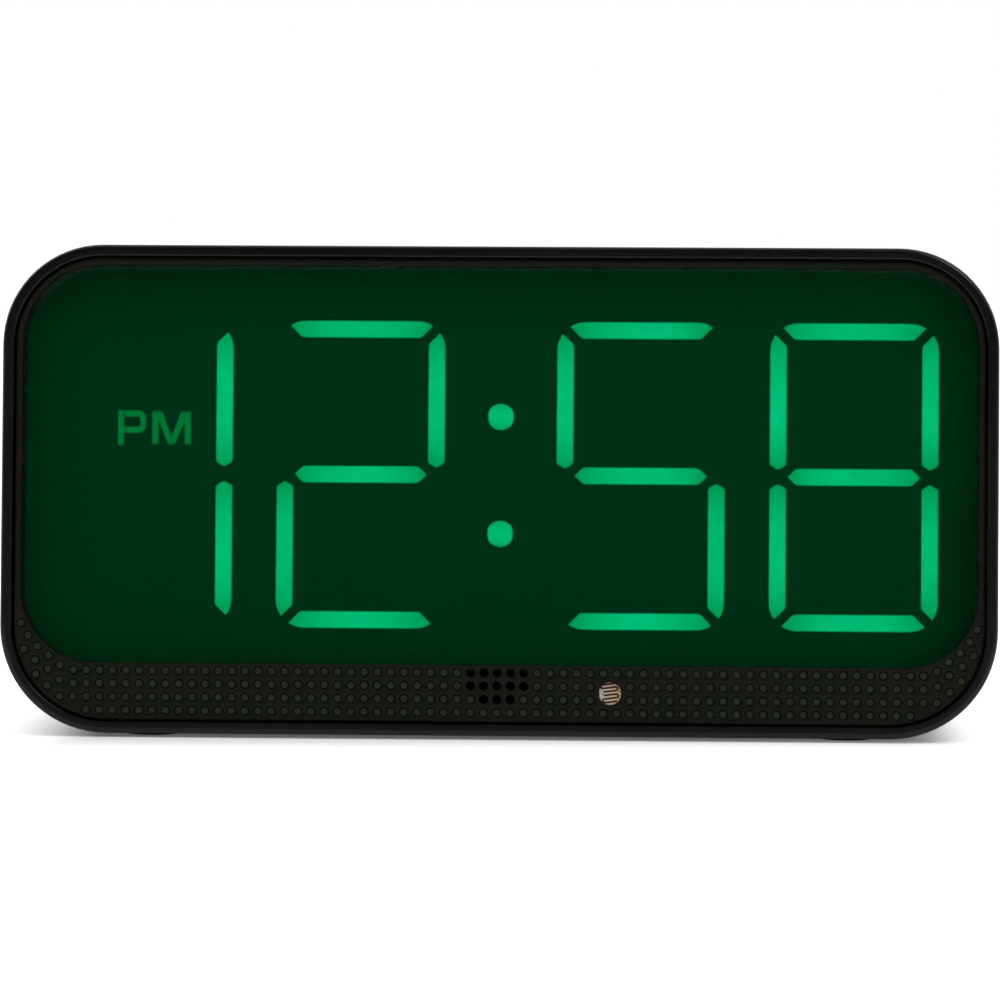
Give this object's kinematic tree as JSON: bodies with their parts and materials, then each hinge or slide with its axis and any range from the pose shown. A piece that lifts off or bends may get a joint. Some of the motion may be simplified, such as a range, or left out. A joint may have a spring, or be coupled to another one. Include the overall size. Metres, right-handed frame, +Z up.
{
  "type": "digital led desk clock",
  "caption": "Mains desk clock with a rounded case that leans back, a dimpled front panel, a window for seven-segment digits, keys on top, a sliding alarm switch and a battery door.",
  "frame": {"origin": "on the desk, under the middle of the box round the part", "axes": "+X to the reader's right along the case's width, +Y to the back, +Z up"},
  "size_m": [0.163, 0.0522, 0.0803],
  "materials": {
    "case_black": "satin moulded",
    "panel_olive": "fine textured moulding",
    "lens_green": "dark green tinted acrylic",
    "film": "matt film",
    "reflector": "dark moulding",
    "segment_lit": "lit green resin",
    "segment_dark": "unlit green resin",
    "board_green": "solder mask",
    "chip_black": "moulded epoxy",
    "led_chip": "moulded resin",
    "foam": "open foam",
    "sensor": "ceramic disc",
    "key_black": "satin moulded",
    "steel": "zinc plated",
    "cell": "sleeved steel can",
    "rubber": "soft rubber",
    "can": "drawn can"
  },
  "bodies": {
    "case": {"front_shell": "case_black", "front_panel": "panel_olive", "display_lens": "lens_green", "diffuser_sheet": "film", "led_reflector": "reflector", "segments_lit": "segment_lit", "segments_unlit": "segment_dark", "colon_dots": "segment_lit", "pm_window": "segment_lit", "display_board": "board_green", "led_chips": "led_chip", "sounder": "chip_black", "sounder_gasket": "foam", "photoresistor": "sensor", "switch_housings": "chip_black", "key_board": "board_green", "main_board": "board_green", "clock_chip": "chip_black", "driver_chip": "chip_black", "crystal_can": "can", "capacitor": "can", "board_link": "chip_black", "rear_shell": "case_black", "alarm_switch": "steel", "dc_jack": "chip_black", "jack_contact": "steel", "battery_cells": "cell", "battery_springs": "steel", "battery_plates": "steel", "case_screws": "steel", "board_screws": "steel", "main_board_screws": "steel", "key_board_screws": "steel", "rubber_feet": "rubber"},
    "snooze": {"snooze_bar": "key_black", "snooze_plunger": "chip_black"},
    "hour": {"hour_key": "key_black", "hour_plunger": "chip_black"},
    "minute": {"minute_key": "key_black", "minute_plunger": "chip_black"},
    "time": {"time_key": "key_black", "time_plunger": "chip_black"},
    "alarm": {"alarm_key": "key_black", "alarm_plunger": "chip_black"},
    "alarm_slider": {"alarm_knob": "key_black", "alarm_lever": "chip_black"},
    "door": {"battery_door": "case_black"}
  },
  "joints": [
    {"name": "snooze_press", "type": "slide", "parent": "case", "child": "snooze", "axis": [0, -0.1219, -0.9925], "range_m": [0, 0.0006], "stiffness_N_per_m": 1200, "springref_m": -0.0006},
    {"name": "hour_press", "type": "slide", "parent": "case", "child": "hour", "axis": [0, -0.1219, -0.9925], "range_m": [0, 0.0006], "stiffness_N_per_m": 1000, "springref_m": -0.0006},
    {"name": "minute_press", "type": "slide", "parent": "case", "child": "minute", "axis": [0, -0.1219, -0.9925], "range_m": [0, 0.0006], "stiffness_N_per_m": 1000, "springref_m": -0.0006},
    {"name": "time_press", "type": "slide", "parent": "case", "child": "time", "axis": [0, -0.1219, -0.9925], "range_m": [0, 0.0006], "stiffness_N_per_m": 1000, "springref_m": -0.0006},
    {"name": "alarm_press", "type": "slide", "parent": "case", "child": "alarm", "axis": [0, -0.1219, -0.9925], "range_m": [0, 0.0006], "stiffness_N_per_m": 1000, "springref_m": -0.0006},
    {"name": "alarm_slide", "type": "slide", "parent": "case", "child": "alarm_slider", "axis": [1, 0, 0], "range_m": [0, 0.004]},
    {"name": "door_tilt", "type": "hinge", "parent": "case", "child": "door", "pos_m": [-0.02585, 0.0048, 0.0013], "axis": [0, 1, 0], "range_deg": [0, 55]}
  ]
}
